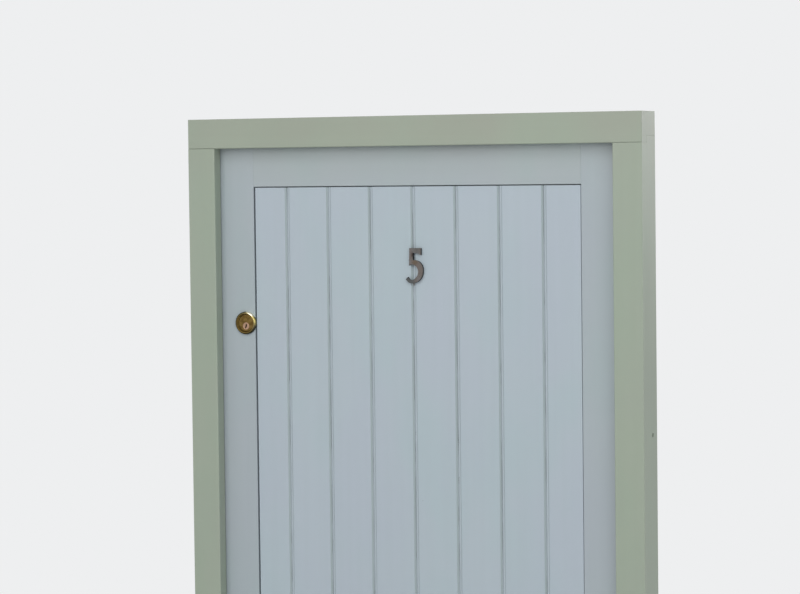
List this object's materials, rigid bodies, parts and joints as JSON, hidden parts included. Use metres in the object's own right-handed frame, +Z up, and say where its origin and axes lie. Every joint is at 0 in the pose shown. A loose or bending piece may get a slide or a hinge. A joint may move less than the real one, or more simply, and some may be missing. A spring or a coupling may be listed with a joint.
{
  "type": "dutch stable door in its frame",
  "caption": "Framed, ledged and braced stable door: an upper and a lower boarded leaf hinged in a rebated timber frame with sill, night latch and tower bolts.",
  "frame": {"origin": "on the underside of the sill, midway between the jambs, in the plane of the frame's outer face", "axes": "+X to the right seen from outside, towards the hinges; +Y inwards through the door; +Z up"},
  "size_m": [0.933, 0.1463, 2.0925],
  "materials": {
    "painted_timber": "soft sheen exterior paint, brushed, pale blue-grey",
    "painted_frame": "soft sheen exterior paint, brushed, pale grey-green",
    "painted_sill": "soft sheen exterior paint, worn",
    "polished_brass": "polished, lightly tarnished",
    "dull_brass": "worn and dull",
    "old_bronze": "dark weathered patina",
    "japanned_iron": "black japanned",
    "zinc_steel": "zinc plated, dulled"
  },
  "bodies": {
    "frame": {"bottom_bolt_keep": "japanned_iron", "frame_head": "painted_frame", "frame_hinge_leaves": "zinc_steel", "hinge_jamb": "painted_frame", "latch_keep": "japanned_iron", "lock_jamb": "painted_frame", "sill": "painted_sill", "water_bar": "zinc_steel"},
    "upper_leaf": {"cylinder_body": "dull_brass", "cylinder_ring": "polished_brass", "house_number": "old_bronze", "latch_back_plate": "japanned_iron", "latch_case": "japanned_iron", "meeting_bolt_case": "japanned_iron", "upper_board_1": "painted_timber", "upper_board_2": "painted_timber", "upper_board_3": "painted_timber", "upper_board_4": "painted_timber", "upper_board_5": "painted_timber", "upper_board_6": "painted_timber", "upper_board_7": "painted_timber", "upper_board_8": "painted_timber", "upper_bottom_rail": "painted_timber", "upper_brace": "painted_timber", "upper_hinge_leaves": "zinc_steel", "upper_hinge_stile": "painted_timber", "upper_lock_stile": "painted_timber", "upper_top_rail": "painted_timber", "upper_weatherboard": "painted_timber", "upper_wedges": "painted_timber"},
    "lower_leaf": {"bottom_bolt_case": "japanned_iron", "lower_board_1": "painted_timber", "lower_board_2": "painted_timber", "lower_board_3": "painted_timber", "lower_board_4": "painted_timber", "lower_board_5": "painted_timber", "lower_board_6": "painted_timber", "lower_board_7": "painted_timber", "lower_board_8": "painted_timber", "lower_bottom_rail": "painted_timber", "lower_brace": "painted_timber", "lower_hinge_leaves": "zinc_steel", "lower_hinge_stile": "painted_timber", "lower_lock_stile": "painted_timber", "lower_top_rail": "painted_timber", "lower_weatherboard": "painted_timber", "lower_wedges": "painted_timber", "meeting_bolt_keep": "japanned_iron"},
    "key_plug": {"cylinder_plug": "dull_brass", "cylinder_tail_bar": "dull_brass"},
    "latch_bolt": {"latch_bolt": "polished_brass"},
    "latch_knob": {"latch_knob": "polished_brass"},
    "latch_snib": {"latch_snib": "polished_brass"},
    "meeting_bolt": {"meeting_bolt": "zinc_steel"},
    "bottom_bolt": {"bottom_bolt": "zinc_steel"}
  },
  "joints": [
    {"name": "upper_leaf_hinge", "type": "hinge", "parent": "frame", "child": "upper_leaf", "pos_m": [0.4205, 0.0765, 1.286], "axis": [0, 0, -1], "range_deg": [0, 100]},
    {"name": "lower_leaf_hinge", "type": "hinge", "parent": "frame", "child": "lower_leaf", "pos_m": [0.4205, 0.0765, 0.283], "axis": [0, 0, -1], "range_deg": [0, 100]},
    {"name": "key_turn", "type": "hinge", "parent": "upper_leaf", "child": "key_plug", "pos_m": [-0.358, 0.026, 1.692], "axis": [0, 1, 0], "range_deg": [0, 90]},
    {"name": "latch_bolt_slide", "type": "slide", "parent": "upper_leaf", "child": "latch_bolt", "axis": [-1, 0, 0], "range_m": [0, 0.014]},
    {"name": "latch_knob_turn", "type": "hinge", "parent": "upper_leaf", "child": "latch_knob", "pos_m": [-0.358, 0.098, 1.698], "axis": [0, -1, 0], "range_deg": [0, 45]},
    {"name": "snib_slide", "type": "slide", "parent": "upper_leaf", "child": "latch_snib", "axis": [1, 0, 0], "range_m": [0, 0.006]},
    {"name": "meeting_bolt_slide", "type": "slide", "parent": "upper_leaf", "child": "meeting_bolt", "axis": [0, 0, -1], "range_m": [0, 0.018]},
    {"name": "bottom_bolt_slide", "type": "slide", "parent": "lower_leaf", "child": "bottom_bolt", "axis": [-1, 0, 0], "range_m": [0, 0.018]}
  ],
  "couplings": [
    {"joint": "latch_knob_turn", "follows": "latch_bolt_slide", "rad_per_m": 56}
  ]
}
